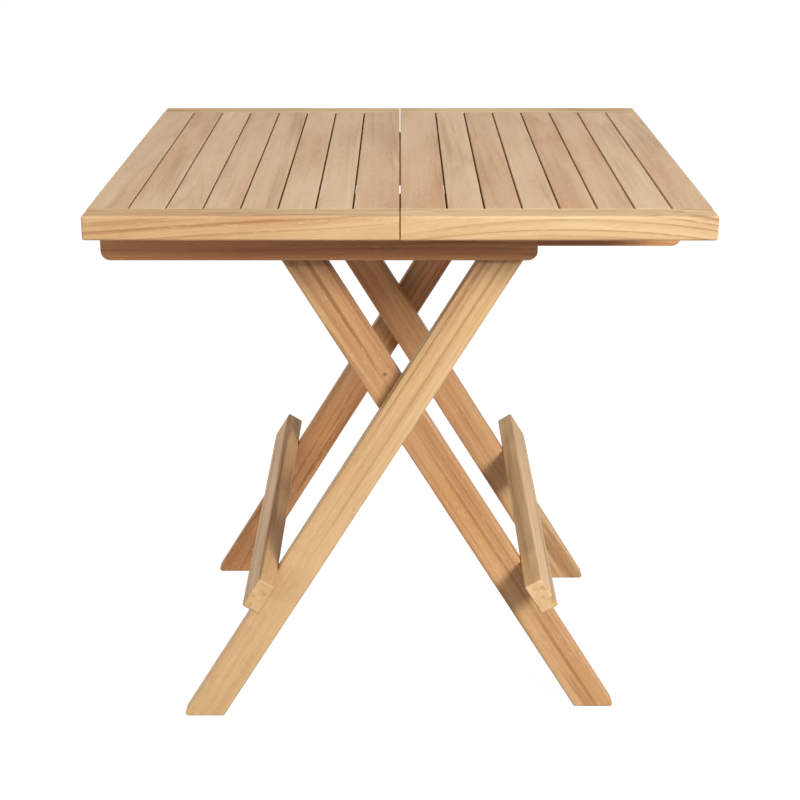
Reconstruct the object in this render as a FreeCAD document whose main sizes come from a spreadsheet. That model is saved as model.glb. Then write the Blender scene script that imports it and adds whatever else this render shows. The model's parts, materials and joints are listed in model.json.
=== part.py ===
import FreeCAD, Part
import os
import Sketcher
from FreeCAD import Placement, Rotation, Vector

# A slatted teak table that folds. Its top is two halves that meet at a seam, and it stands on
# two crossed leg frames. The left half hangs on the outer leg frame and the right half on the
# inner one, each by two battens that run on past the seam, under the other half.
# Frame: millimetres, +Z up, the origin on the floor under the middle of the top. The seam is
# at x = 0 and the front edge is at negative y.

SIZES = [
    ("top_width", 750.0, "table top, left to right"),
    ("top_depth", 750.0, "table top, front to back"),
    ("table_height", 750.0, "floor to the top face"),
    ("seam_gap", 1.5, "opening between the two halves"),
    ("rail_depth", 41.0, "front and back rail, across its top face"),
    ("rail_thick", 30.0, "front and back rail, top to bottom"),
    ("rail_round", 3.0, "rounding of the rail's outer edges"),
    ("slat_thick", 18.0, "slat, top to bottom"),
    ("slat_width", 42.9, "the six middle slats of a half"),
    ("edge_slat_width", 48.2, "the outermost slat of a half"),
    ("slat_gap", 2.0, "opening between slats"),
    ("slat_round", 1.0, "rounding of slats and of inner rail edges"),
    ("tenon_thick", 8.0, "slat tenon, top to bottom"),
    ("tenon_length", 15.0, "slat tenon, into the rail"),
    ("tenon_shoulder", 6.0, "slat width left beside its tenon"),
    ("mortise_spare", 1.0, "mortise depth past the tenon's end"),
    ("batten_thick", 20.0, "batten, front to back"),
    ("batten_height", 65.0, "batten, top to bottom"),
    ("batten_reach", 172.5, "batten's length past the seam"),
    ("right_batten_inset", 11.0, "top's right edge to the right battens' outer end"),
    ("batten_corner", 12.0, "rounding of the batten's lower corners"),
    ("batten_relief", 1.0, "step down where a batten passes under the other half"),
    ("leg_width", 49.0, "leg, across its wide face"),
    ("leg_thick", 24.0, "leg, front to back"),
    ("leg_round", 2.5, "rounding of the leg's long edges"),
    ("toe_round", 4.0, "rounding of the foot's outer tip"),
    ("leg_setback", 132.0, "top's front edge to the outer leg's front face"),
    ("layer_gap", 1.5, "space for a washer between turning pieces"),
    ("lean_angle", 31.45, "leg, away from upright"),
    ("crossing_height", 451.8, "floor to the pin where the legs cross"),
    ("pivot_height", 698.0, "floor to the pins in the battens"),
    ("stretcher_front", 300.0, "table's middle to the stretcher's front end"),
    ("stretcher_back", 330.0, "table's middle to the stretcher's back end"),
    ("stretcher_width", 46.0, "stretcher, along the leg"),
    ("stretcher_thick", 25.5, "stretcher, away from the leg"),
    ("stretcher_drop", 276.5, "crossing to the stretcher's upper edge, along the leg"),
    ("stretcher_round", 2.0, "rounding of the stretcher's long edges"),
    ("pin_radius", 5.0, "pivot pin"),
    ("pin_bite_leg", 18.0, "pivot pin's length in a leg"),
    ("pin_bite_batten", 14.0, "pivot pin's length in a batten"),
    ("pin_chamfer", 1.0, "bevel at the pin's ends"),
    ("pin_hole_spare", 1.0, "blind pin hole's depth past the pin's end"),
    ("running_fit", 0.08, "space around a pin in the wood that turns on it"),
    ("close_fit", 0.05, "space around a piece that doesn't turn in its hole"),
    ("washer_radius", 11.0, "washer, outside"),
    ("washer_hole", 5.2, "washer's hole"),
    ("washer_thick", 1.4, "washer"),
    ("screw_radius", 2.0, "wood screw's shank"),
    ("screw_head_radius", 4.0, "wood screw's head"),
    ("screw_head_thick", 2.5, "wood screw's head"),
    ("screw_hole", 2.2, "hole for a wood screw"),
    ("counterbore_radius", 4.5, "wide part of a screw's hole"),
    ("batten_counterbore", 34.0, "depth of the wide hole in a batten"),
    ("slat_bite", 12.0, "batten screw's length in the slat"),
    ("stretcher_counterbore", 9.0, "depth of the wide hole in a stretcher"),
    ("leg_bite", 28.0, "stretcher screw's length in the leg"),
    ("stretcher_screw_step", 22.0, "distance between the two screws in a leg"),
    ("plug_thick", 6.0, "wood plug over a stretcher screw"),
]
SLATS_PER_HALF = 8
FRONT, BACK = 1, -1          # a front piece is built towards +Y, a back piece towards -Y
LEFT, RIGHT = -1, 1
OUTER, INNER = 1, -1         # the outer legs lean right as they rise, the inner legs left
OUTSIDE, MIDDLE = "outside", "middle"      # the way a face of a leg or batten looks
SIDE_NAMES = {FRONT: "front", BACK: "back"}

HALF_WIDTH = "(Sizes.top_width - Sizes.seam_gap) / 2"
SLAT_PITCH = "(Sizes.slat_width + Sizes.slat_gap)"
LEG_SETBACK = "(Sizes.top_depth / 2 - Sizes.leg_setback)"
LEG_LAYER = "(Sizes.leg_thick + Sizes.layer_gap)"
BATTEN_FACE = {
    LEFT: f"({LEG_SETBACK} + Sizes.layer_gap + Sizes.batten_thick)",
    RIGHT: f"({LEG_SETBACK} - 2 * {LEG_LAYER})",
}
LEG_FACE = {OUTER: LEG_SETBACK, INNER: f"({LEG_SETBACK} - {LEG_LAYER})"}
RISE = "(Sizes.pivot_height - Sizes.crossing_height)"
PIVOT_REACH = f"({RISE} / cos(Sizes.lean_angle))"
PIVOT_OUT = f"({RISE} * tan(Sizes.lean_angle))"
BATTEN_BASE = "(Sizes.table_height - Sizes.slat_thick - Sizes.batten_height)"
SHORT = 1e-4                 # lengths below this count as nothing when edges are sorted

doc = FreeCAD.newDocument("FoldingTable")
sheet = doc.addObject("Spreadsheet::Sheet", "Sizes")
subparts = []


def fill_sheet():
    for row, (alias, size, meaning) in enumerate(SIZES, start=1):
        sheet.set(f"A{row}", alias)
        sheet.set(f"B{row}", str(size))
        sheet.set(f"C{row}", meaning)
        sheet.setAlias(f"B{row}", alias)
    doc.recompute()


def number(expression):
    """The value of an expression on the sheet, in millimetres or degrees."""
    return float(sheet.evalExpression(expression))


def bind(thing, expressions):
    for path, expression in expressions.items():
        thing.setExpression(path, expression)
    return thing


def place(thing, x="0", y="0", z="0"):
    return bind(thing, {
        "Placement.Base.x": x,
        "Placement.Base.y": y,
        "Placement.Base.z": z,
    })


def new_body(label):
    body = doc.addObject("PartDesign::Body", label)
    body.Label = label
    subparts.append(body)
    return body


def sketch_on(body, role, shift=None):
    """An empty sketch on one of the body's own planes, moved along the plane's normal."""
    sketch = body.newObject("Sketcher::SketchObject", "Sketch")
    plane = next(item for item in body.Origin.OriginFeatures if item.Role == role)
    sketch.AttachmentSupport = [(plane, "")]
    sketch.MapMode = "FlatFace"
    if shift is not None:
        sketch.setExpression("AttachmentOffset.Base.z", shift)
    return sketch


def hold(sketch, kind, *where, expression):
    """A driving dimension of a sketch, bound to an expression."""
    index = sketch.addConstraint(Sketcher.Constraint(kind, *where, number(expression)))
    sketch.setExpression(f"Constraints[{index}]", expression)


def hold_point(sketch, item, point, x, y):
    """Place a point from the sketch's origin. An offset of 0 puts it on the axis."""
    if x == "0":
        sketch.addConstraint(Sketcher.Constraint("PointOnObject", item, point, -2))
    else:
        hold(sketch, "DistanceX", -1, 1, item, point, expression=x)
    if y == "0":
        sketch.addConstraint(Sketcher.Constraint("PointOnObject", item, point, -1))
    else:
        hold(sketch, "DistanceY", -1, 1, item, point, expression=y)


def rectangle(sketch, left, low, wide, tall):
    x, y = number(left), number(low)
    far_x, far_y = x + number(wide), y + number(tall)
    corners = [Vector(x, y, 0), Vector(far_x, y, 0), Vector(far_x, far_y, 0), Vector(x, far_y, 0)]
    first = sketch.GeometryCount
    for i in range(4):
        sketch.addGeometry(Part.LineSegment(corners[i], corners[(i + 1) % 4]))
    for i in range(4):
        end, start = first + i, first + (i + 1) % 4
        sketch.addConstraint(Sketcher.Constraint("Coincident", end, 2, start, 1))
        level = "Horizontal" if i % 2 == 0 else "Vertical"
        sketch.addConstraint(Sketcher.Constraint(level, end))
    hold(sketch, "DistanceX", first, 1, first, 2, expression=wide)
    hold(sketch, "DistanceY", first + 1, 1, first + 1, 2, expression=tall)
    hold_point(sketch, first, 1, left, low)


def circle(sketch, x, y, radius):
    item = sketch.addGeometry(Part.Circle(
        Vector(number(x), number(y), 0), Vector(0, 0, 1), number(radius)))
    hold(sketch, "Radius", item, expression=radius)
    hold_point(sketch, item, 3, x, y)


def extrude(body, kind, sketch, length, reverse):
    """A Pad or a Pocket of a sketch. It has to change the body's volume the right way."""
    doc.recompute()
    before = body.Tip.Shape.Volume if body.Tip else 0.0
    feature = body.newObject(f"PartDesign::{kind}", kind)
    feature.Profile = sketch
    feature.Reversed = reverse
    feature.setExpression("Length", length)
    doc.recompute()
    change = feature.Shape.Volume - before
    if (change > 0) != (kind == "Pad") or abs(change) < SHORT:
        raise RuntimeError(f"{body.Label}: a {kind} changed the volume by {change:.3f}")
    return feature


def direction(edge):
    """x, y or z for a straight edge along that axis, and an empty string otherwise."""
    box = edge.BoundBox
    spans = {"x": box.XLength, "y": box.YLength, "z": box.ZLength}
    long_ways = [axis for axis, span in spans.items() if span > SHORT]
    return long_ways[0] if len(long_ways) == 1 else ""


def near(a, b):
    return abs(a - b) < SHORT * 10


def round_edges(body, chosen, radius):
    """Round the edges of the body that the chosen test picks."""
    base = body.Tip
    names = [f"Edge{i}" for i, edge in enumerate(base.Shape.Edges, start=1) if chosen(edge)]
    fillet = body.newObject("PartDesign::Fillet", "Fillet")
    fillet.Base = (base, names)
    fillet.setExpression("Radius", radius)
    doc.recompute()
    if fillet.Shape.isNull() or near(fillet.Shape.Volume, base.Shape.Volume):
        raise RuntimeError(f"{body.Label}: rounding to {radius} failed")


def pin_hole(body, side, face, thick, centre, space, bite):
    """A blind hole for a pivot pin, in the face that looks outside or to the table's middle."""
    shift = f"{-side} * {thick}" if face == MIDDLE else None
    sketch = sketch_on(body, "XZ_Plane", shift)
    circle(sketch, *centre, f"Sizes.pin_radius + {space}")
    extrude(body, "Pocket", sketch, f"{bite} + Sizes.pin_hole_spare",
            (side == FRONT) == (face == MIDDLE))


# ---- the two halves of the top

def slat_span(i):
    """How far slat i starts from the half's outer end, and its width. Slat 1 is outermost."""
    if i == 1:
        return "0", "Sizes.edge_slat_width"
    start = f"(Sizes.edge_slat_width + Sizes.slat_gap + {i - 2} * {SLAT_PITCH})"
    if i == SLATS_PER_HALF:
        return start, f"({HALF_WIDTH} - {start})"
    return start, "Sizes.slat_width"


def slat_left(hand, i):
    """Slat i's left edge, from the left end of its half."""
    start, width = slat_span(i)
    return start if hand == LEFT else f"({HALF_WIDTH} - {start} - {width})"


def slat_middle(hand, i):
    """Slat i's middle, from the left end of its half."""
    return f"({slat_left(hand, i)} + {slat_span(i)[1]} / 2)"


def half_left(hand):
    """The left end of a half, in the table's frame."""
    return "-Sizes.top_width / 2" if hand == LEFT else "Sizes.seam_gap / 2"


def make_slat(hand, name, i):
    """A board with a tongue that ends in a tenon at each end, and two blind screw holes."""
    width = slat_span(i)[1]
    length = "(Sizes.top_depth - 2 * Sizes.rail_depth)"
    body = new_body(f"{name}_slat_{i}")
    board = sketch_on(body, "XY_Plane")
    rectangle(board, "0", "0", width, length)
    extrude(body, "Pad", board, "Sizes.slat_thick", False)
    top = number("Sizes.slat_thick")

    def is_outline(edge):
        box = edge.BoundBox
        on_top = near(box.ZMin, top) and near(box.ZMax, top)
        return on_top or (direction(edge) == "y" and near(box.ZMin, 0))

    round_edges(body, is_outline, "Sizes.slat_round")
    tongue = sketch_on(body, "XY_Plane", "(Sizes.slat_thick - Sizes.tenon_thick) / 2")
    rectangle(tongue, "Sizes.tenon_shoulder", "-Sizes.tenon_length",
              f"{width} - 2 * Sizes.tenon_shoulder", f"{length} + 2 * Sizes.tenon_length")
    extrude(body, "Pad", tongue, "Sizes.tenon_thick", False)
    holes = sketch_on(body, "XY_Plane")
    for side in (FRONT, BACK):
        inset = f"{side} * (Sizes.batten_thick / 2 - {BATTEN_FACE[hand]}) + {length} / 2"
        circle(holes, f"{width} / 2", inset, "Sizes.screw_radius + Sizes.close_fit")
    extrude(body, "Pocket", holes, "Sizes.slat_bite + 1", True)
    place(body, f"{half_left(hand)} + {slat_left(hand, i)}",
          "Sizes.rail_depth - Sizes.top_depth / 2", "Sizes.table_height - Sizes.slat_thick")


def make_rail(hand, name, side):
    """A rail across the slats' ends, with a mortise for each tenon in its inner face."""
    body = new_body(f"{name}_{SIDE_NAMES[side]}_rail")
    section = sketch_on(body, "XZ_Plane")
    rectangle(section, "0", "0", HALF_WIDTH, "Sizes.rail_thick")
    extrude(body, "Pad", section, "Sizes.rail_depth", side == FRONT)
    outer_end = 0.0 if hand == LEFT else number(HALF_WIDTH)
    inner_face = side * number("Sizes.rail_depth")

    def is_outer(edge):
        box = edge.BoundBox
        at_end = near(box.XMin, outer_end) and near(box.XMax, outer_end)
        at_face = near(box.YMin, 0) and near(box.YMax, 0)
        if at_end:
            return not near(box.Center.y, inner_face)
        return at_face and direction(edge) == "x"

    def is_inner(edge):
        return direction(edge) == "x" and near(edge.BoundBox.Center.y, inner_face)

    round_edges(body, is_outer, "Sizes.rail_round")
    round_edges(body, is_inner, "Sizes.slat_round")
    mortises = sketch_on(body, "XZ_Plane", f"{-side} * Sizes.rail_depth")
    low = "(Sizes.rail_thick - Sizes.slat_thick / 2 - Sizes.tenon_thick / 2)"
    for i in range(1, SLATS_PER_HALF + 1):
        rectangle(mortises, f"{slat_left(hand, i)} + Sizes.tenon_shoulder", low,
                  f"{slat_span(i)[1]} - 2 * Sizes.tenon_shoulder", "Sizes.tenon_thick")
    extrude(body, "Pocket", mortises, "Sizes.tenon_length + Sizes.mortise_spare", side == FRONT)
    place(body, half_left(hand), f"{-side} * Sizes.top_depth / 2",
          "Sizes.table_height - Sizes.rail_thick")


def make_batten(hand, name, side):
    """A batten on edge under the slats. Its end past the seam carries a leg's top pin."""
    body = new_body(f"{name}_{SIDE_NAMES[side]}_batten")
    section = sketch_on(body, "XZ_Plane")
    length = "Sizes.top_width / 2 + Sizes.batten_reach"
    if hand == RIGHT:
        length += " - Sizes.right_batten_inset"
    rectangle(section, "0", "0", length, "Sizes.batten_height")
    extrude(body, "Pad", section, "Sizes.batten_thick", side == FRONT)
    round_edges(body, lambda edge: direction(edge) == "y" and near(edge.BoundBox.ZMin, 0),
                "Sizes.batten_corner")
    top = number("Sizes.batten_height")

    def is_face_edge(edge):
        return edge.BoundBox.YLength < SHORT and not near(edge.BoundBox.ZMin, top)

    round_edges(body, is_face_edge, "Sizes.slat_round")

    past_seam = "Sizes.top_width / 2" if hand == LEFT else "0"
    relief = sketch_on(body, "XZ_Plane")
    rectangle(relief, past_seam, "Sizes.batten_height - Sizes.batten_relief",
              "Sizes.batten_reach", "Sizes.batten_relief")
    extrude(body, "Pocket", relief, "Sizes.batten_thick", side == BACK)

    if hand == LEFT:
        pivot_x, leg_side = f"Sizes.top_width / 2 + {PIVOT_OUT}", MIDDLE
    else:
        pivot_x, leg_side = f"Sizes.batten_reach - {PIVOT_OUT}", OUTSIDE
    pivot = (pivot_x, f"Sizes.pivot_height - {BATTEN_BASE}")
    pin_hole(body, side, leg_side, "Sizes.batten_thick", pivot, "Sizes.close_fit",
             "Sizes.pin_bite_batten")

    start = "0" if hand == LEFT else "(Sizes.batten_reach + Sizes.seam_gap / 2)"
    for radius, depth in (("Sizes.screw_hole", "Sizes.batten_height"),
                          ("Sizes.counterbore_radius", "Sizes.batten_counterbore")):
        holes = sketch_on(body, "XY_Plane")
        for i in range(1, SLATS_PER_HALF + 1):
            circle(holes, f"{start} + {slat_middle(hand, i)}",
                   f"{side} * Sizes.batten_thick / 2", radius)
        extrude(body, "Pocket", holes, depth, True)
    left_end = "-Sizes.top_width / 2" if hand == LEFT else "-Sizes.batten_reach"
    place(body, left_end, f"{-side} * {BATTEN_FACE[hand]}", BATTEN_BASE)


# ---- the two leg frames

def tilt(thing, frame):
    """Lean a piece that is drawn upright, about the crossing, with its frame of legs."""
    thing.Placement = Placement(Vector(), Rotation(Vector(0, frame, 0), number("Sizes.lean_angle")))
    return bind(thing, {"Placement.Rotation.Angle": "Sizes.lean_angle"})


def leg_outline(sketch, frame):
    """Straight sides, a top rounded about its pin, and a foot cut level with the floor."""
    half = number("Sizes.leg_width / 2")
    top = number(PIVOT_REACH)
    slope = "Sizes.leg_width / 2 * sin(Sizes.lean_angle)"
    long_side = f"(Sizes.crossing_height + {slope}) / cos(Sizes.lean_angle)"
    short_side = f"(Sizes.crossing_height - {slope}) / cos(Sizes.lean_angle)"
    left_side, right_side = (long_side, short_side) if frame == OUTER else (short_side, long_side)
    low_left = Vector(-half, -number(left_side), 0)
    low_right = Vector(half, -number(right_side), 0)
    high_right = Vector(half, top, 0)
    high_left = Vector(-half, top, 0)
    foot = sketch.addGeometry(Part.LineSegment(low_left, low_right))
    right = sketch.addGeometry(Part.LineSegment(low_right, high_right))
    crown = sketch.addGeometry(Part.Arc(high_right, Vector(0, top + half, 0), high_left))
    left = sketch.addGeometry(Part.LineSegment(high_left, low_left))
    sketch.addConstraint([
        Sketcher.Constraint("Coincident", foot, 2, right, 1),
        Sketcher.Constraint("Tangent", right, 2, crown, 1),
        Sketcher.Constraint("Tangent", crown, 2, left, 1),
        Sketcher.Constraint("Coincident", left, 2, foot, 1),
        Sketcher.Constraint("Vertical", right),
        Sketcher.Constraint("PointOnObject", crown, 3, -2),
    ])
    hold(sketch, "Radius", crown, expression="Sizes.leg_width / 2")
    hold(sketch, "DistanceY", -1, 1, crown, 3, expression=PIVOT_REACH)
    hold(sketch, "DistanceY", foot, 1, -1, 1, expression=left_side)
    hold(sketch, "DistanceY", foot, 2, -1, 1, expression=right_side)


def screw_drop(step):
    """A stretcher screw's distance from the crossing, along the leg. step is -1 or 1."""
    return (f"(Sizes.stretcher_drop + Sizes.stretcher_width / 2"
            f" + {step} * Sizes.stretcher_screw_step / 2)")


def make_leg(frame, name, side):
    """A leg, drawn upright about the crossing, with its pin holes and stretcher screw holes."""
    body = new_body(f"{name}_{SIDE_NAMES[side]}_leg")
    outline = sketch_on(body, "XZ_Plane")
    leg_outline(outline, frame)
    extrude(body, "Pad", outline, "Sizes.leg_thick", side == FRONT)
    toe = min(vertex.Z for vertex in body.Tip.Shape.Vertexes)
    round_edges(body, lambda edge: direction(edge) == "y" and near(edge.BoundBox.ZMin, toe),
                "Sizes.toe_round")
    round_edges(body, lambda edge: edge.BoundBox.YLength < SHORT, "Sizes.leg_round")

    if frame == OUTER:
        holes = [("0", MIDDLE, "Sizes.close_fit"), (PIVOT_REACH, OUTSIDE, "Sizes.running_fit")]
    else:
        holes = [("0", OUTSIDE, "Sizes.running_fit"), (PIVOT_REACH, MIDDLE, "Sizes.running_fit")]
    for height, face, space in holes:
        pin_hole(body, side, face, "Sizes.leg_thick", ("0", height), space, "Sizes.pin_bite_leg")

    edge = sketch_on(body, "YZ_Plane", f"{-frame} * Sizes.leg_width / 2")
    for step in (-1, 1):
        circle(edge, f"{side} * Sizes.leg_thick / 2", f"-{screw_drop(step)}",
               "Sizes.screw_radius + Sizes.close_fit")
    extrude(body, "Pocket", edge, "Sizes.leg_bite + 1", frame == OUTER)
    place(tilt(body, frame), "0", f"{-side} * {LEG_FACE[frame]}", "Sizes.crossing_height")


def leg_middle(frame, side):
    """The middle of a leg's thickness, in the table's frame."""
    return f"{-side} * ({LEG_FACE[frame]} - Sizes.leg_thick / 2)"


def make_stretcher(frame, name):
    """A board across the upper edges of a frame's two legs."""
    body = new_body(f"{name}_stretcher")
    section = sketch_on(body, "XZ_Plane", "Sizes.stretcher_front")
    outer_face = "(Sizes.leg_width / 2 + Sizes.stretcher_thick)"
    left = f"-{outer_face}" if frame == OUTER else "Sizes.leg_width / 2"
    rectangle(section, left, "-(Sizes.stretcher_drop + Sizes.stretcher_width)",
              "Sizes.stretcher_thick", "Sizes.stretcher_width")
    extrude(body, "Pad", section, "Sizes.stretcher_front + Sizes.stretcher_back", True)
    round_edges(body, lambda edge: True, "Sizes.stretcher_round")
    for radius, depth in (("Sizes.screw_hole", "Sizes.stretcher_thick"),
                          ("Sizes.counterbore_radius", "Sizes.stretcher_counterbore")):
        holes = sketch_on(body, "YZ_Plane", f"{-frame} * {outer_face}")
        for side in (FRONT, BACK):
            for step in (-1, 1):
                circle(holes, leg_middle(frame, side), f"-{screw_drop(step)}", radius)
        extrude(body, "Pocket", holes, depth, frame == OUTER)
    place(tilt(body, frame), "0", "0", "Sizes.crossing_height")


# ---- fasteners, each kind a group of separate solids in one node

def cylinder(radius, height):
    return bind(doc.addObject("Part::Cylinder", "Cylinder"), {"Radius": radius, "Height": height})


def cone(wide, narrow, height):
    return bind(doc.addObject("Part::Cone", "Cone"),
                {"Radius1": wide, "Radius2": narrow, "Height": height})


def fuse(*pieces):
    whole = doc.addObject("Part::MultiFuse", "Fuse")
    whole.Shapes = list(pieces)
    return whole


def cut(base, tool):
    whole = doc.addObject("Part::Cut", "Cut")
    whole.Base, whole.Tool = base, tool
    return whole


def group(label, pieces):
    whole = doc.addObject("Part::Compound", label)
    whole.Links = pieces
    whole.Label = label
    subparts.append(whole)


def along_depth(thing, x, inset, z):
    """Turn a piece drawn along +Z to point at the front, its base this far from the middle."""
    thing.Placement = Placement(Vector(), Rotation(Vector(1, 0, 0), 90))
    return place(thing, x, f"-({inset})", z)


def with_twin(label, piece):
    """Group a front fastener with its mirror image at the back."""
    twin = doc.addObject("Part::Mirroring", "Mirroring")
    twin.Source = piece
    twin.Normal = Vector(0, 1, 0)
    group(label, [piece, twin])


def make_pivot(name, x, z, face, bite_middle, bite_outside):
    """A blind pin and a washer between two pieces that turn on each other.

    face is the distance from the table's middle to the outer face of the piece nearer the
    middle. The pin reaches bite_middle into that piece and bite_outside into the other.
    """
    chamfer, narrow = "Sizes.pin_chamfer", "Sizes.pin_radius - Sizes.pin_chamfer"
    length = f"{bite_middle} + Sizes.layer_gap + {bite_outside}"
    start = f"{face} - {bite_middle}"
    pin = fuse(
        along_depth(cone(narrow, "Sizes.pin_radius", chamfer), x, start, z),
        along_depth(cylinder("Sizes.pin_radius", f"{length} - 2 * {chamfer}"),
                    x, f"{start} + {chamfer}", z),
        along_depth(cone("Sizes.pin_radius", narrow, chamfer),
                    x, f"{start} + {length} - {chamfer}", z),
    )
    with_twin(f"{name}_pins", pin)
    ring = cut(cylinder("Sizes.washer_radius", "Sizes.washer_thick"),
               cylinder("Sizes.washer_hole", "Sizes.washer_thick"))
    space = "(Sizes.layer_gap - Sizes.washer_thick) / 2"
    with_twin(f"{name}_washers", along_depth(ring, x, f"{face} + {space}", z))


def screw(shank_length):
    """A pan head screw that points up, its head's upper face at its own origin."""
    shank = cylinder("Sizes.screw_radius", shank_length)
    head = place(cylinder("Sizes.screw_head_radius", "Sizes.screw_head_thick"),
                 z="-Sizes.screw_head_thick")
    return fuse(shank, head)


def make_batten_screws(hand, name):
    """One screw up through each batten into each slat of its own half."""
    length = "Sizes.batten_height - Sizes.batten_counterbore + Sizes.slat_bite"
    screws = []
    for side in (FRONT, BACK):
        y = f"{-side} * ({BATTEN_FACE[hand]} - Sizes.batten_thick / 2)"
        for i in range(1, SLATS_PER_HALF + 1):
            x = f"{half_left(hand)} + {slat_middle(hand, i)}"
            screws.append(place(screw(length), x, y, f"{BATTEN_BASE} + Sizes.batten_counterbore"))
    group(f"{name}_batten_screws", screws)


def across_leg(thing, frame, side, step, out):
    """Stand a piece on a leg's upper edge, pointing into the leg. out is from the leg's middle."""
    angle = -90 if frame == INNER else 90
    into_leg = Rotation(Vector(0, 1, 0), angle)
    lean = Rotation(Vector(0, frame, 0), number("Sizes.lean_angle"))
    thing.Placement = Placement(Vector(), lean.multiply(into_leg))
    drop = screw_drop(step)
    return place(
        thing,
        f"{-frame} * (({out}) * cos(Sizes.lean_angle) + {drop} * sin(Sizes.lean_angle))",
        leg_middle(frame, side),
        f"Sizes.crossing_height + ({out}) * sin(Sizes.lean_angle) - {drop} * cos(Sizes.lean_angle)",
    )


def make_stretcher_screws(frame, name):
    """Two screws through the stretcher into each leg, each under a wood plug."""
    face = "Sizes.leg_width / 2 + Sizes.stretcher_thick"
    length = "Sizes.stretcher_thick - Sizes.stretcher_counterbore + Sizes.leg_bite"
    places = [(side, step) for side in (FRONT, BACK) for step in (-1, 1)]
    group(f"{name}_stretcher_screws", [
        across_leg(screw(length), frame, side, step, f"{face} - Sizes.stretcher_counterbore")
        for side, step in places])
    group(f"{name}_stretcher_plugs", [
        across_leg(cylinder("Sizes.counterbore_radius - Sizes.close_fit", "Sizes.plug_thick"),
                   frame, side, step, face)
        for side, step in places])


def make_everything():
    for hand, name in ((LEFT, "left"), (RIGHT, "right")):
        for side in (FRONT, BACK):
            make_rail(hand, name, side)
            make_batten(hand, name, side)
        for i in range(1, SLATS_PER_HALF + 1):
            make_slat(hand, name, i)
        make_batten_screws(hand, name)
    for frame, name in ((OUTER, "outer"), (INNER, "inner")):
        for side in (FRONT, BACK):
            make_leg(frame, name, side)
        make_stretcher(frame, name)
        make_stretcher_screws(frame, name)
    leg, batten = "Sizes.pin_bite_leg", "Sizes.pin_bite_batten"
    make_pivot("crossing", "0", "Sizes.crossing_height", LEG_FACE[INNER], leg, leg)
    make_pivot("left_pivot", PIVOT_OUT, "Sizes.pivot_height", LEG_FACE[OUTER], leg, batten)
    make_pivot("right_pivot", f"-{PIVOT_OUT}", "Sizes.pivot_height", BATTEN_FACE[RIGHT], batten, leg)
    doc.recompute()


def write_parts():
    for item in doc.Objects:
        if "Invalid" in item.State or "Error" in item.State:
            raise RuntimeError(f"{item.Label} failed: {item.State}")
    for item in subparts:
        if item.Shape.isNull() or not item.Shape.isValid():
            raise RuntimeError(f"{item.Label} has no valid shape")
    os.makedirs("parts", exist_ok=True)
    for item in subparts:
        item.Shape.exportStep(f"parts/{item.Label}.step")
        box = item.Shape.BoundBox
        print(f"{item.Label:26s} {len(item.Shape.Solids):3d} solids {item.Shape.Volume / 1000:9.2f} cm3"
              f"  x {box.XMin:7.1f} {box.XMax:7.1f}  y {box.YMin:7.1f} {box.YMax:7.1f}"
              f"  z {box.ZMin:6.1f} {box.ZMax:6.1f}")


fill_sheet()
make_everything()
write_parts()
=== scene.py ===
import json
import math

import bmesh
import bpy
import numpy as np
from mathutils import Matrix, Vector


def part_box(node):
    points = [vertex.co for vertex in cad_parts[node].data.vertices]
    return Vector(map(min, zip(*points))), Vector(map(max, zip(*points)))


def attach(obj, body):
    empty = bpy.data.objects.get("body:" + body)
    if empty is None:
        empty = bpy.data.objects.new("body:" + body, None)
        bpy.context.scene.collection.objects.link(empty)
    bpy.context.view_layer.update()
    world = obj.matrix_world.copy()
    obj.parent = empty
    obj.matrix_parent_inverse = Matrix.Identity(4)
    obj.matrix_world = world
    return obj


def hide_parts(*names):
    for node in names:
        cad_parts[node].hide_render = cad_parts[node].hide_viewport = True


# The folding table's looks. Each board of the top, each leg and each stretcher is a new solid,
# rounded as sanding leaves it, and cut from a log of its own: its grain is worked out from the
# place the board had in the log. Battens, plugs and fasteners keep the shape they come with.

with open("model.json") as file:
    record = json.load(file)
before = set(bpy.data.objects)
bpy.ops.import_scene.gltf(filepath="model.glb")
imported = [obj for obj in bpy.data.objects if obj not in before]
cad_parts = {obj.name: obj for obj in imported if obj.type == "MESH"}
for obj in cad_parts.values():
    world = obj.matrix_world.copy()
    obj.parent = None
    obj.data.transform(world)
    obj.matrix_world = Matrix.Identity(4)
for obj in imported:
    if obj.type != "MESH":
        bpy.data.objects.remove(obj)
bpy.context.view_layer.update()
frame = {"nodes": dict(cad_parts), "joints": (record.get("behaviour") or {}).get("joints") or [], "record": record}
joints = {joint["name"]: joint for joint in frame["joints"]}

MM = 0.001
random = np.random.default_rng(40)

CROSSING = np.array(joints["leg_scissor"]["pos_m"])
TOP_PIVOT = np.array(joints["left_half_pivot"]["pos_m"])
REACH = float(np.hypot(TOP_PIVOT[0], TOP_PIVOT[2] - CROSSING[2]))
LEAN = math.atan2(TOP_PIVOT[0], TOP_PIVOT[2] - CROSSING[2])
LEG_HALF_WIDTH = 24.5 * MM
STRETCHER_THICK = 25.5 * MM
STRETCHER_DROP = 276.5 * MM
STRETCHER_WIDTH = 46 * MM
PLAY = 0.12 * MM             # half of the most that sanding has eaten into a face
STATION_STEP = 14 * MM       # along a board, from one ring of points to the next
LEAST_ROUND = 0.15 * MM
SLAT_ROUND = 1.0 * MM
RAIL_ROUND = 3 * MM
SAWN_ROUND = 0.5 * MM        # a rail's end at the seam
STRETCHER_ROUND = 2 * MM
LEG_ROUND = 2.5 * MM
TOE_ROUND = 4 * MM
HEEL_ROUND = 0.6 * MM


# ---- shapes

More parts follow.
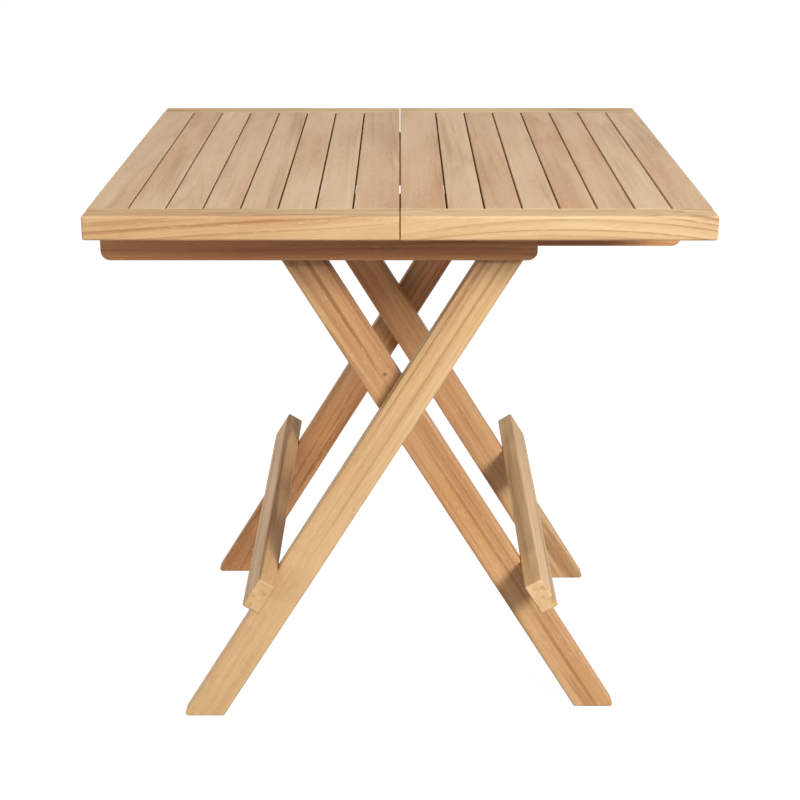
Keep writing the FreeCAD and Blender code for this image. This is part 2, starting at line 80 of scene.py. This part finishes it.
def bisectors(corners):
    """At each corner: unit vectors to the corners before and after it, the unit vector halfway
    between them, and the angle from that to either side."""
    before = np.roll(corners, 1, axis=1) - corners
    after = np.roll(corners, -1, axis=1) - corners
    before /= np.linalg.norm(before, axis=2, keepdims=True)
    after /= np.linalg.norm(after, axis=2, keepdims=True)
    middle = before + after
    middle /= np.linalg.norm(middle, axis=2, keepdims=True)
    half_angle = np.arccos(np.clip((before * middle).sum(axis=2), -1, 1))
    return before, after, middle, half_angle


def shrink(corners, inset):
    """Move each side of a polygon in by inset: a corner moves along the halfway vector by inset
    divided by the sine of the half angle. One inset per ring."""
    _, _, middle, half_angle = bisectors(corners)
    return corners + middle * (inset[:, None] / np.sin(half_angle))[..., None]


def rounded(corners, radii, arc_points, side_points):
    """Rings of points round convex polygons with rounded corners.

    An arc touches both sides of its corner. Its centre is on the halfway vector, at the radius
    divided by the sine of the half angle, and its points turn evenly from one side to the
    other. The straight part after each arc gets side_points more points, evenly spread.
    """
    before, after, middle, half_angle = bisectors(corners)
    centre = corners + middle * (radii / np.sin(half_angle))[..., None]
    reach = (radii / np.tan(half_angle))[..., None]
    first = (corners + before * reach - centre)[:, :, None]
    last = (corners + after * reach - centre)[:, :, None]
    turn = (np.pi - 2 * half_angle)[..., None, None]
    t = np.linspace(0, 1, arc_points)[:, None]
    mixed = np.sin((1 - t) * turn) * first + np.sin(t * turn) * last
    arcs = centre[:, :, None] + mixed / np.sin(turn)
    pieces = []
    for i, count in enumerate(side_points):
        start, end = arcs[:, i, -1:], arcs[:, (i + 1) % len(side_points), :1]
        share = np.linspace(0, 1, count + 2)[1:-1, None]
        pieces += [arcs[:, i], start + (end - start) * share]
    return np.concatenate(pieces, axis=1)


def wave(along, count=1):
    """Smooth random curves between 0 and 1: three sine waves of different length, added up."""
    along = along[:, None, None]
    lengths = random.uniform([0.30, 0.12, 0.06], [0.60, 0.20, 0.09], (count, 3))
    phases = random.uniform(0, 2 * np.pi, (count, 3))
    heights = np.array([0.5, 0.3, 0.2])
    return 0.5 + 0.5 * (np.sin(2 * np.pi * along / lengths + phases) * heights).sum(axis=2)


def end_rings(radius, steps=5):
    """Distances from a board's end and insets there, for an end rounded to radius: a quarter
    circle from the end face to the long faces."""
    angle = np.linspace(0, np.pi / 2, steps)
    return radius * (1 - np.cos(angle)), radius * (1 - np.sin(angle))


def bar(length, low, high, radii, ends, end_shares):
    """A straight board as a section carried along its length.

    The section at each station is a rectangle from low to high with rounded corners. Each face
    is eaten away by a smooth random depth. Near an end the faces come in along a quarter
    circle, each by its share: low and high sides across, then low and high sides through.
    """
    near_at, near_in = end_rings(ends[0])
    far_at, far_in = end_rings(ends[1])
    inner = np.linspace(ends[0], length - ends[1], max(int(length / STATION_STEP), 3))[1:-1]
    along = np.concatenate([near_at, inner, length - far_at[::-1]])
    worn = 2 * PLAY * wave(along, 4)
    inset = np.zeros((len(along), 4))
    inset[:len(near_in)] = near_in[:, None] * np.array(end_shares[0])
    inset[-len(far_in):] = far_in[::-1, None] * np.array(end_shares[1])
    sides = worn + inset
    left, right = low[0] + sides[:, 0], high[0] - sides[:, 1]
    under, over = low[1] + sides[:, 2], high[1] - sides[:, 3]
    corners = np.stack([
        np.stack([left, under], axis=1), np.stack([right, under], axis=1),
        np.stack([right, over], axis=1), np.stack([left, over], axis=1)], axis=1)
    softened = np.array(radii) * (0.9 + 0.35 * wave(along, 4))
    eaten = np.stack([np.maximum(inset[:, 0], inset[:, 2]), np.maximum(inset[:, 1], inset[:, 2]),
                      np.maximum(inset[:, 1], inset[:, 3]), np.maximum(inset[:, 0], inset[:, 3])],
                     axis=1)
    softened = np.maximum(softened - eaten, LEAST_ROUND)
    rings = rounded(corners, softened, 5, [2, 1, 2, 1])
    stations = np.broadcast_to(along[:, None, None], rings.shape[:2] + (1,))
    return np.concatenate([stations, rings], axis=2)


def slab(corners, radii, thick, rim, side_points):
    """A flat shape carried through its thickness, its outline rounded over at both faces.

    At each face the outline is drawn in along a quarter circle of radius rim. The long sides
    are eaten away by a smooth random depth that changes along the second coordinate.
    """
    at, inset = end_rings(rim, 6)
    through = np.concatenate([at, thick - at[::-1]])
    inset = np.concatenate([inset, inset[::-1]])
    corners = np.repeat(np.array(corners)[None], len(through), axis=0)
    radii = np.maximum(np.array(radii) - inset[:, None], LEAST_ROUND)
    rings = rounded(shrink(corners, inset), radii, 7, side_points)
    up = rings[0, :, 1]
    worn = PLAY * 2 * wave(up, 2)
    side = np.where(rings[0, :, 0] < 0, worn[:, 0], worn[:, 1]) / LEG_HALF_WIDTH
    rings[:, :, 0] *= 1 - side
    stations = np.broadcast_to(through[:, None, None], rings.shape[:2] + (1,))
    return np.concatenate([rings[:, :, 1:], rings[:, :, :1], stations], axis=2)


# ---- boards

def random_log(tilt=0.03, deep=(35, 90), aside=30):
    """Where a board lay in its log: the pith's place beside and under the board's middle, the
    slope between the two across and through, and the log's sweep."""
    side = random.choice([-1, 1])
    return (random.uniform(-aside, aside) * MM, side * random.uniform(*deep) * MM,
            random.uniform(-tilt, tilt) * 0.4, random.uniform(-tilt, tilt),
            random.uniform(-0.1, 0.1))


def board(name, rings, origin, axes, body, slot, log, tone, stands_for):
    """Put a board's rings into a mesh: quads from ring to ring and one face over each end.

    A ring's points are (along, across, through), and axes gives those three directions. The
    log attribute holds each point's place in the log: along, then across and through from the
    pith, which leaves the board's middle line by a constant slope and bows by a sweep times the
    distance squared. The end attribute is 1 where the board shows end grain: at its least and
    greatest distance along.
    """
    count, size = rings.shape[:2]
    local = rings.reshape(-1, 3)
    points = np.array(origin) + local @ np.array(axes)
    index = np.arange(count * size).reshape(count, size)
    here, there = index[:-1], index[1:]
    quads = np.stack([here, np.roll(here, -1, axis=1), np.roll(there, -1, axis=1), there], axis=2)
    faces = quads.reshape(-1, 4).tolist() + [index[0][::-1].tolist(), index[-1].tolist()]
    mesh = bpy.data.meshes.new(name)
    mesh.from_pydata(points.tolist(), [], faces)
    turned = bmesh.new()
    turned.from_mesh(mesh)
    bmesh.ops.recalc_face_normals(turned, faces=turned.faces)
    turned.to_mesh(mesh)
    turned.free()
    mesh.polygons.foreach_set("use_smooth", np.ones(len(mesh.polygons), bool))
    mesh.set_sharp_from_angle(angle=math.radians(35))

    middle = (local.min(axis=0) + local.max(axis=0)) / 2
    offset = local - middle
    across, through, slope_across, slope_through, sweep = log
    place = np.stack([
        offset[:, 0] + random.uniform(0, 40),
        offset[:, 1] - across - slope_across * offset[:, 0],
        offset[:, 2] - through - slope_through * offset[:, 0] + sweep * offset[:, 0] ** 2,
    ], axis=1)
    mesh.attributes.new("log", "FLOAT_VECTOR", "POINT").data.foreach_set(
        "vector", place.astype(np.float32).ravel())
    mesh.attributes.new("tone", "FLOAT", "POINT").data.foreach_set(
        "value", np.full(len(local), tone, np.float32))
    along = local[:, 0]
    end_grain = (along < along.min() + 0.01 * MM) | (along > along.max() - 0.01 * MM)
    mesh.attributes.new("end", "FLOAT", "POINT").data.foreach_set(
        "value", end_grain.astype(np.float32))
    piece = bpy.data.objects.new(name, mesh)
    bpy.context.scene.collection.objects.link(piece)
    piece.modifiers.new("flat faces stay flat", "WEIGHTED_NORMAL").keep_sharp = True
    mesh.materials.append(materials[slot])
    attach(piece, body)
    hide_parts(stands_for)
    return piece


def lengthwise(axis_along, axis_across):
    """Three right-handed directions from the first two."""
    return np.array([axis_along, axis_across, np.cross(axis_along, axis_across)])


def make_slat(hand, number):
    node = f"{hand}_slat_{number}"
    low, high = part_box(node)
    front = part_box(f"{hand}_front_rail")[1].y
    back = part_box(f"{hand}_back_rail")[0].y
    rings = bar(back - front, (-high.x, low.z), (-low.x, high.z), [SLAT_ROUND] * 4,
                (SLAT_ROUND, SLAT_ROUND), [(0.3, 0.3, 0.1, 1)] * 2)
    axes = lengthwise((0, 1, 0), (-1, 0, 0))
    board(f"{hand}_top_board_{number}", rings, (0, front, 0), axes, f"{hand}_half", "slat_teak",
          random_log(0.05, (25, 110), 25), random.uniform(-0.35, 0.35), node)


def make_rail(hand, side):
    node = f"{hand}_{side}_rail"
    low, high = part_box(node)
    outer, inner = RAIL_ROUND, SLAT_ROUND
    radii = [outer, inner, inner, outer] if side == "front" else [inner, outer, outer, inner]
    rounded_end = (1, 0, 1, 1) if side == "front" else (0, 1, 1, 1)
    sawn_end = (1, 1, 1, 1)
    shares = [rounded_end, sawn_end] if hand == "left" else [sawn_end, rounded_end]
    ends = (outer, SAWN_ROUND) if hand == "left" else (SAWN_ROUND, outer)
    rings = bar(high.x - low.x, (low.y, low.z), (high.y, high.z), radii, ends, shares)
    log, tone = RAIL_CUTS[node]
    board(f"{hand}_{side}_edge_rail", rings, (low.x, 0, 0), lengthwise((1, 0, 0), (0, 1, 0)),
          f"{hand}_half", "rail_teak", log, tone, node)


def make_leg(pair, side):
    node = f"{pair}_{side}_leg"
    low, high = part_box(node)
    lean = 1 if pair == "outer" else -1
    up = np.array([lean * math.sin(LEAN), 0, math.cos(LEAN)])
    across = np.cross((0, 1, 0), up)
    half = LEG_HALF_WIDTH
    foot = [(a * lean * math.sin(LEAN) - CROSSING[2]) / math.cos(LEAN) for a in (-half, half)]
    corners = [(-half, foot[0]), (half, foot[1]), (half, REACH + half), (-half, REACH + half)]
    radii = [TOE_ROUND, HEEL_ROUND] if lean > 0 else [HEEL_ROUND, TOE_ROUND]
    radii += [half - 0.05 * MM] * 2
    rings = slab(corners, radii, high.y - low.y, LEG_ROUND, [3, 48, 0, 48])
    log, tone = LEG_CUTS[node]
    board(f"{pair}_{side}_crossed_leg", rings, (0, low.y, CROSSING[2]),
          np.array([up, across, (0, 1, 0)]), f"{pair}_legs", "leg_teak", log, tone, node)


def make_stretcher(pair):
    node = f"{pair}_stretcher"
    low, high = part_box(node)
    lean = 1 if pair == "outer" else -1
    up = np.array([lean * math.sin(LEAN), 0, math.cos(LEAN)])
    out = np.cross((0, 1, 0), up) * -lean
    reach = (STRETCHER_DROP + STRETCHER_WIDTH, STRETCHER_DROP)
    if lean > 0:
        across, start = -out, (-(LEG_HALF_WIDTH + STRETCHER_THICK), -LEG_HALF_WIDTH)
    else:
        across, start = out, (LEG_HALF_WIDTH, LEG_HALF_WIDTH + STRETCHER_THICK)
    axes = np.array([(0, 1, 0), across, up])
    rings = bar(high.y - low.y, (start[0], -reach[0]), (start[1], -reach[1]),
                [STRETCHER_ROUND] * 4, (STRETCHER_ROUND, STRETCHER_ROUND), [(1, 1, 1, 1)] * 2)
    log, tone = LEG_CUTS[node]
    board(f"{pair}_cross_board", rings, (0, low.y, CROSSING[2]), axes, f"{pair}_legs",
          "leg_teak", log, tone, node)


# ---- materials

def add(tree, kind, inputs=None, **settings):
    """A new shader node. Inputs are numbers, colours or the output of another node."""
    node = tree.nodes.new("ShaderNode" + kind)
    for name, value in settings.items():
        setattr(node, name, value)
    for name, value in (inputs or {}).items():
        if isinstance(value, bpy.types.NodeSocket):
            tree.links.new(value, node.inputs[name])
        else:
            node.inputs[name].default_value = value
    return node


def math_node(tree, operation, a, b=0.0, clamp=False):
    return add(tree, "Math", {0: a, 1: b}, operation=operation, use_clamp=clamp).outputs[0]


def stretched_noise(tree, place, along, across, detail=2.0, roughness=0.5):
    """Noise with this many waves a metre along the grain and across it."""
    scaled = add(tree, "VectorMath", {0: place, 1: (along, across, across)}, operation="MULTIPLY")
    noise = add(tree, "TexNoise", {"Vector": scaled.outputs[0], "Scale": 1.0, "Detail": detail,
                                   "Roughness": roughness})
    return noise.outputs["Fac"]


def ramp(tree, value, stops, interpolation="LINEAR"):
    node = add(tree, "ValToRGB", {"Fac": value})
    node.color_ramp.interpolation = interpolation
    while len(node.color_ramp.elements) < len(stops):
        node.color_ramp.elements.new(0.5)
    for element, (position, colour) in zip(node.color_ramp.elements, stops):
        element.position = position
        element.color = tuple(colour) + (1,) if len(colour) == 3 else colour
    return node.outputs["Color"]


def centred(tree, value, weight):
    """(value - 0.5) * weight"""
    return math_node(tree, "MULTIPLY", math_node(tree, "SUBTRACT", value, 0.5), weight)


def teak(name, pale, main, deep, ring_mm, ring_weight, streak_weight, patch_weight,
         fibre_weight, line_weight, roughness, place_from=None, tone=0.0, knot=None):
    """Planed teak. Growth rings are the distance from the pith, bent by slow noise and divided
    by the ring width: each ring darkens slowly and ends sharply. Streaks, tone patches, fibres
    and open pores are noise drawn out along the grain, and dark lines are where a noise drawn
    out most is high. Tone runs from -1, yellow and pale, to 1, red and deep. End grain is paler,
    with rings that show less. Flecks are short pale dashes. A knot is a dark spot that the rings
    swerve round."""
    material = bpy.data.materials.new(name)
    material.use_nodes = True
    tree = material.node_tree
    tree.nodes.clear()
    if place_from is None:
        place = add(tree, "Attribute", attribute_name="log").outputs["Vector"]
        tone = add(tree, "Attribute", attribute_name="tone").outputs["Fac"]
        end = add(tree, "Attribute", attribute_name="end").outputs["Fac"]
    else:
        where = add(tree, "TexCoord").outputs["Object"]
        place = add(tree, "Mapping", {"Vector": where, "Location": place_from[0],
                                      "Rotation": place_from[1]}).outputs[0]
        end = 0.0
    round_pith = add(tree, "VectorMath", {0: place, 1: (0, 1, 1)}, operation="MULTIPLY").outputs[0]
    radius = add(tree, "VectorMath", {0: round_pith}, operation="LENGTH").outputs["Value"]
    bend = centred(tree, stretched_noise(tree, place, 2.6, 15, 2.0), 0.016)
    radius = math_node(tree, "ADD", radius, bend)
    if knot is not None:
        here = add(tree, "TexCoord").outputs["Object"]
        away = add(tree, "VectorMath", {0: here, 1: knot}, operation="DISTANCE").outputs["Value"]
        swerve = add(tree, "MapRange", {"Value": away, "From Max": 22 * MM, "To Min": 6 * MM,
                                        "To Max": 0.0}, interpolation_type="SMOOTHSTEP")
        radius = math_node(tree, "ADD", radius, swerve.outputs[0])
    rings = math_node(tree, "DIVIDE", radius, ring_mm * MM)
    drift = centred(tree, stretched_noise(tree, place, 0.4, 60), 3.0)
    rings = math_node(tree, "ADD", rings, drift)
    ring = ramp(tree, math_node(tree, "FRACT", rings),
                [(0.0, (0.10,) * 3), (0.12, (0.0,) * 3), (0.55, (0.34,) * 3), (0.84, (0.90,) * 3),
                 (0.92, (1.0,) * 3), (1.0, (0.10,) * 3)])
    fading = stretched_noise(tree, place, 1.3, 34, 2.0)
    strength = add(tree, "MapRange", {"Value": fading, "From Min": 0.38, "From Max": 0.66,
                                      "To Min": 0.12, "To Max": 1.0}).outputs[0]
    less = math_node(tree, "SUBTRACT", 1.0, math_node(tree, "MULTIPLY", end, 0.7))
    strength = math_node(tree, "MULTIPLY", strength, less)
    ring = math_node(tree, "MULTIPLY", centred(tree, ring, ring_weight), strength)
    streak = stretched_noise(tree, place, 1.7, 85, 5.0, 0.58)
    line = add(tree, "MapRange", {"Value": stretched_noise(tree, place, 0.55, 110, 2.0, 0.4),
                                  "From Min": 0.56, "From Max": 0.68, "To Min": 0.0,
                                  "To Max": line_weight}).outputs[0]
    fibre = stretched_noise(tree, place, 16, 1500, 2.0)
    patch = stretched_noise(tree, place, 3.0, 20, 3.0)
    value = math_node(tree, "ADD", ring, centred(tree, streak, streak_weight))
    value = math_node(tree, "ADD", value, centred(tree, patch, patch_weight))
    value = math_node(tree, "ADD", value, centred(tree, fibre, fibre_weight))
    value = math_node(tree, "ADD", value, line)
    value = math_node(tree, "SUBTRACT", value, math_node(tree, "MULTIPLY", end, 0.20))
    value = math_node(tree, "ADD", value, math_node(tree, "MULTIPLY", tone, 0.12))
    value = math_node(tree, "ADD", value, 0.5, clamp=True)
    colour = ramp(tree, value, [(0.0, pale), (0.5, main), (1.0, deep)])
    blush = centred(tree, stretched_noise(tree, place, 1.7, 13, 2.0), 1.6)
    blush = math_node(tree, "ADD", blush, math_node(tree, "MULTIPLY", tone, 0.5))
    blush = math_node(tree, "ADD", blush, 0.5, clamp=True)
    tint = ramp(tree, blush, [(0.0, (1.05, 1.07, 1.05)), (0.5, (1.0, 1.0, 1.0)),
                              (1.0, (0.89, 0.69, 0.55))])
    colour = add(tree, "MixRGB", {"Fac": 1.0, "Color1": colour, "Color2": tint},
                 blend_type="MULTIPLY").outputs[0]

    pore = stretched_noise(tree, place, 34, 2300, 1.0)
    pore = add(tree, "MapRange", {"Value": pore, "From Min": 0.60, "From Max": 0.72,
                                  "To Min": 0.0, "To Max": 1.0}).outputs[0]
    fleck = add(tree, "MapRange", {"Value": stretched_noise(tree, place, 75, 620, 1.0),
                                   "From Min": 0.64, "From Max": 0.74, "To Min": 0.0,
                                   "To Max": 0.45}).outputs[0]
    colour = add(tree, "MixRGB", {"Fac": fleck, "Color1": colour,
                                  "Color2": tuple(c * 1.12 for c in pale) + (1,)}).outputs[0]
    shade = math_node(tree, "MULTIPLY", pore, 0.32)
    colour = add(tree, "MixRGB", {"Fac": shade, "Color1": colour,
                                  "Color2": tuple(c * 0.45 for c in deep) + (1,)}).outputs[0]
    if knot is not None:
        core = add(tree, "MapRange", {"Value": away, "From Min": 1.6 * MM, "From Max": 3.6 * MM,
                                      "To Min": 0.8, "To Max": 0.0}).outputs[0]
        colour = add(tree, "MixRGB", {"Fac": core, "Color1": colour,
                                      "Color2": (0.16, 0.065, 0.022, 1)}).outputs[0]
    rough = math_node(tree, "ADD", math_node(tree, "MULTIPLY", value, 0.14), roughness - 0.07)
    rough = math_node(tree, "ADD", rough, math_node(tree, "MULTIPLY", pore, 0.15))
    height = math_node(tree, "SUBTRACT", math_node(tree, "MULTIPLY", fibre, 0.5), pore)
    height = math_node(tree, "SUBTRACT", height, math_node(tree, "MULTIPLY", streak, 0.6))
    bump = add(tree, "Bump", {"Height": height, "Strength": 0.35, "Distance": 0.00025})
    shader = add(tree, "BsdfPrincipled", {"Base Color": colour, "Roughness": rough,
                                          "Normal": bump.outputs[0], "Specular IOR Level": 0.35})
    add(tree, "OutputMaterial", {"Surface": shader.outputs[0]})
    return material


def satin_steel(name):
    """Stainless steel with fine turning marks: noise drawn out in one direction."""
    material = bpy.data.materials.new(name)
    material.use_nodes = True
    tree = material.node_tree
    tree.nodes.clear()
    where = add(tree, "TexCoord").outputs["Object"]
    marks = stretched_noise(tree, where, 60, 2600, 2.0)
    cloud = stretched_noise(tree, where, 120, 120, 2.0)
    rough = math_node(tree, "ADD", math_node(tree, "MULTIPLY", marks, 0.22),
                      math_node(tree, "MULTIPLY", cloud, 0.18))
    rough = math_node(tree, "ADD", rough, 0.12)
    colour = ramp(tree, cloud, [(0.3, (0.50, 0.50, 0.51)), (0.7, (0.64, 0.64, 0.65))])
    bump = add(tree, "Bump", {"Height": marks, "Strength": 0.25, "Distance": 0.0001})
    shader = add(tree, "BsdfPrincipled", {"Base Color": colour, "Roughness": rough,
                                          "Metallic": 1.0, "Normal": bump.outputs[0]})
    add(tree, "OutputMaterial", {"Surface": shader.outputs[0]})
    return material


PALE = (0.66, 0.45, 0.235)
MAIN = (0.535, 0.332, 0.152)
DEEP = (0.31, 0.155, 0.058)
KNOT = (-0.0198, -0.2175, 0.500)     # on the front face of the inner front leg
materials = {
    "slat_teak": teak("slat_teak", (0.64, 0.455, 0.27), (0.55, 0.37, 0.208), (0.40, 0.24, 0.125),
                      9.0, 0.30, 0.50, 1.15, 0.10, 0.14, 0.50),
    "rail_teak": teak("rail_teak", (0.63, 0.445, 0.242), (0.535, 0.355, 0.172),
                      (0.35, 0.19, 0.075), 9.0, 0.95, 0.42, 0.8, 0.12, 0.15, 0.50),
    "leg_teak": teak("leg_teak", PALE, MAIN, DEEP, 8.0, 0.45, 1.0, 0.85, 0.16, 0.40, 0.52,
                     knot=KNOT),
    "fastener_steel": satin_steel("fastener_steel"),
}

# (pith across, pith under, slope across, slope under, sweep), tone from -1 pale to 1 deep
RAIL_CUTS = {
    "left_front_rail": ((-0.042, -0.020, 0.0, 0.075, 0.0), 0.0),
    "right_front_rail": ((-0.060, -0.038, 0.010, 0.0, 0.42), -0.1),
    "left_back_rail": (random_log(0.03), 0.0),
    "right_back_rail": (random_log(0.03), 0.1),
}
LEG_CUTS = {
    "outer_front_leg": ((-0.050, 0.030, 0.004, 0.010, 0.0), -0.3),
    "inner_front_leg": ((-0.012, 0.070, -0.008, 0.012, 0.0), 0.45),
    # The back legs' deep tones, 1.0 and 0.7, are painted shade: they darken and redden both back legs for the
    # shade under the table top.
    "outer_back_leg": (random_log(0.014), 1.0),
    "inner_back_leg": (random_log(0.014), 0.7),
    "outer_stretcher": (random_log(0.014), 0.2),
    "inner_stretcher": (random_log(0.014), -0.5),
}

for hand in ("left", "right"):
    for number in range(1, 9):
        make_slat(hand, number)
    for side in ("front", "back"):
        make_rail(hand, side)
for pair in ("outer", "inner"):
    for side in ("front", "back"):
        make_leg(pair, side)
    make_stretcher(pair)


def dress(node, material):
    """Give a node that keeps its own shape its material."""
    mesh = frame["nodes"][node].data
    mesh.materials.clear()
    mesh.materials.append(material)


for body, nodes in frame["record"]["behaviour"]["bodies"].items():
    for node in nodes:
        if node.endswith("_batten"):
            where = random.uniform(-0.02, 0.02), random.uniform(0.05, 0.12)
            low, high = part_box(node)
            pith = (random.uniform(0, 9), -(low.y + high.y) / 2 + where[0],
                    -(low.z + high.z) / 2 + where[1])
            slope = (0.0, random.uniform(-0.02, 0.02), random.uniform(-0.006, 0.006))
            # The battens' darker, redder teak is partly their own redder wood and partly painted shade, for the
            # shade they sit in under the table top.
            dress(node, teak(node, (0.61, 0.35, 0.155), (0.51, 0.262, 0.102), (0.33, 0.138, 0.047),
                             8.0, 0.5, 0.9, 1.1, 0.2, 0.2, 0.52, (pith, slope), 0.4))
        elif node.endswith("_plugs"):
            lean = LEAN if node.startswith("outer") else -LEAN
            dress(node, teak(node, PALE, MAIN, DEEP, 3.0, 0.5, 0.6, 0.8, 0.2, 0.0, 0.52,
                             ((3.0, 0.04, 0.05), (0.0, lean + math.pi / 2, 0.0))))
        elif node.endswith(("_pins", "_washers", "_screws")):
            dress(node, materials["fastener_steel"])


# ---- studio

def flat_material(name, diffuse, glow):
    material = bpy.data.materials.new(name)
    material.use_nodes = True
    tree = material.node_tree
    tree.nodes.clear()
    shader = add(tree, "BsdfPrincipled", {
        "Base Color": (diffuse, diffuse, diffuse, 1), "Roughness": 0.9,
        "Emission Color": (1, 1, 1, 1), "Emission Strength": glow})
    add(tree, "OutputMaterial", {"Surface": shader.outputs[0]})
    return material


FLOOR = 30.0                 # half its side
FLOOR_Z = -0.5 * MM
floor_mesh = bpy.data.meshes.new("floor")
floor_mesh.from_pydata([(-FLOOR, -FLOOR, FLOOR_Z), (FLOOR, -FLOOR, FLOOR_Z),
                        (FLOOR, FLOOR, FLOOR_Z), (-FLOOR, FLOOR, FLOOR_Z)], [], [(0, 1, 2, 3)])
floor = bpy.data.objects.new("floor", floor_mesh)
bpy.context.scene.collection.objects.link(floor)
floor_mesh.materials.append(flat_material("pale floor", 0.12, 0.92))
floor.visible_diffuse = False

world = bpy.data.worlds.new("studio")
bpy.context.scene.world = world
world.use_nodes = True
sky = world.node_tree
sky.nodes.clear()
direction = add(sky, "TexCoord").outputs["Generated"]
upwards = add(sky, "SeparateXYZ", {"Vector": direction}).outputs["Z"]
upwards = add(sky, "MapRange", {"Value": upwards, "From Min": -1.0, "From Max": 1.0}).outputs[0]
light = ramp(sky, upwards, [(0.0, (0.235, 0.122, 0.064)), (0.46, (0.26, 0.15, 0.088)),
                            (0.54, (0.46, 0.46, 0.46)), (1.0, (0.78, 0.79, 0.82))])
lit = add(sky, "Background", {"Color": light, "Strength": 1.0})
backdrop = add(sky, "Background", {"Color": (0.98, 0.98, 0.98, 1), "Strength": 1.0})
seen = add(sky, "LightPath").outputs["Is Camera Ray"]
mixed = add(sky, "MixShader", {0: seen, 1: lit.outputs[0], 2: backdrop.outputs[0]})
add(sky, "OutputWorld", {"Surface": mixed.outputs[0]})


def softbox(name, place, aim, width, height, watts):
    lamp = bpy.data.lights.new(name, "AREA")
    lamp.shape = "RECTANGLE"
    lamp.size, lamp.size_y = width, height
    lamp.energy = watts
    lamp.color = (0.95, 0.96, 1.0)
    thing = bpy.data.objects.new(name, lamp)
    thing.location = place
    thing.rotation_euler = (Vector(aim) - Vector(place)).to_track_quat("-Z", "Y").to_euler()
    bpy.context.scene.collection.objects.link(thing)
    return thing


softbox("key light", (2.0, -3.0, 2.25), (0, 0, 0.40), 1.3, 0.9, 176)
softbox("fill light", (-2.9, -1.5, 1.0), (0, 0, 0.45), 1.2, 1.2, 26)
softbox("back light", (-1.6, 3.2, 1.5), (0, 0, 0.45), 1.4, 1.0, 30).visible_glossy = False

camera = bpy.data.cameras.new("camera")
camera.lens = 72.3
camera.sensor_width = 36.0
viewer = bpy.data.objects.new("camera", camera)
viewer.location = (0.0, -2.218, 1.189)
PITCH = 19.92                # degrees below level
viewer.rotation_euler = (math.radians(90 - PITCH), 0, 0)
bpy.context.scene.collection.objects.link(viewer)
bpy.context.scene.camera = viewer
bpy.context.scene.view_settings.view_transform = "Standard"
